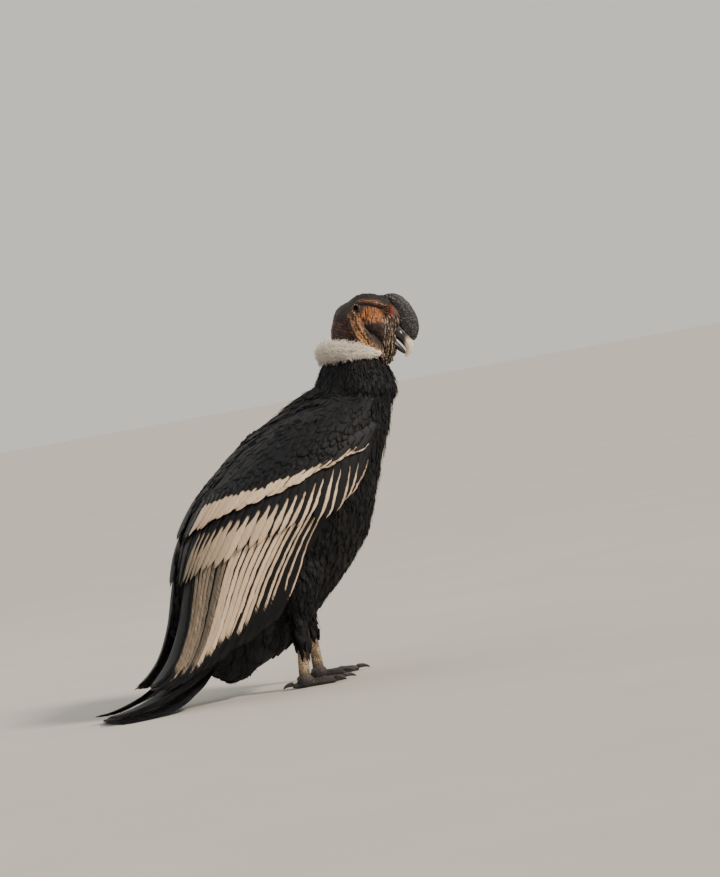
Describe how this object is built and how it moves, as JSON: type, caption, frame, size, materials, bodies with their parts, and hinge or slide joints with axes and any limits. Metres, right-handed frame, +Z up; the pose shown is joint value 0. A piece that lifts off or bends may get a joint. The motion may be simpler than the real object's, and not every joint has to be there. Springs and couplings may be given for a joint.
{
  "type": "andean condor",
  "caption": "Life-size standing male condor at rest: bare combed head turned aside, white ruff, black body, folded wings with pale feather panels, tail laid on the floor.",
  "frame": {"origin": "middle of the bird's bounding box, on the floor it stands on", "axes": "+X the way the body faces, +Y to the bird's left, +Z up"},
  "size_m": [0.84, 0.381, 0.8065],
  "materials": {
    "plumage": "black body feathers with a faint blue-grey sheen",
    "wing_feathers": "black feathers with cream outer webs on the secondaries and their coverts",
    "down": "white down, matt",
    "bare_skin": "wrinkled bare skin, dark red-brown with an ochre cheek",
    "comb_skin": "pebbled dark slate skin",
    "bill": "ivory horn, dark at its base",
    "eye": "wet and dark, brown iris",
    "shank_scales": "fine tan scales, matt",
    "toe_skin": "black scaled skin",
    "claw": "black horn, half gloss"
  },
  "bodies": {
    "root": {"torso": "plumage", "neck": "plumage", "thigh_right": "plumage", "thigh_left": "plumage", "tail": "plumage", "wing_right": "wing_feathers", "wing_left": "wing_feathers", "ruff": "down", "bare_neck": "bare_skin", "head": "bare_skin", "fold_right": "bare_skin", "fold_left": "bare_skin", "wattle": "bare_skin", "comb": "comb_skin", "bill_upper": "bill", "bill_lower": "bill", "eye_right": "eye", "eye_left": "eye", "shank_right": "shank_scales", "shank_left": "shank_scales", "foot_right": "toe_skin", "foot_left": "toe_skin", "claw_right_0": "claw", "claw_right_1": "claw", "claw_right_2": "claw", "claw_right_3": "claw", "claw_left_0": "claw", "claw_left_1": "claw", "claw_left_2": "claw", "claw_left_3": "claw"}
  },
  "joints": []
}
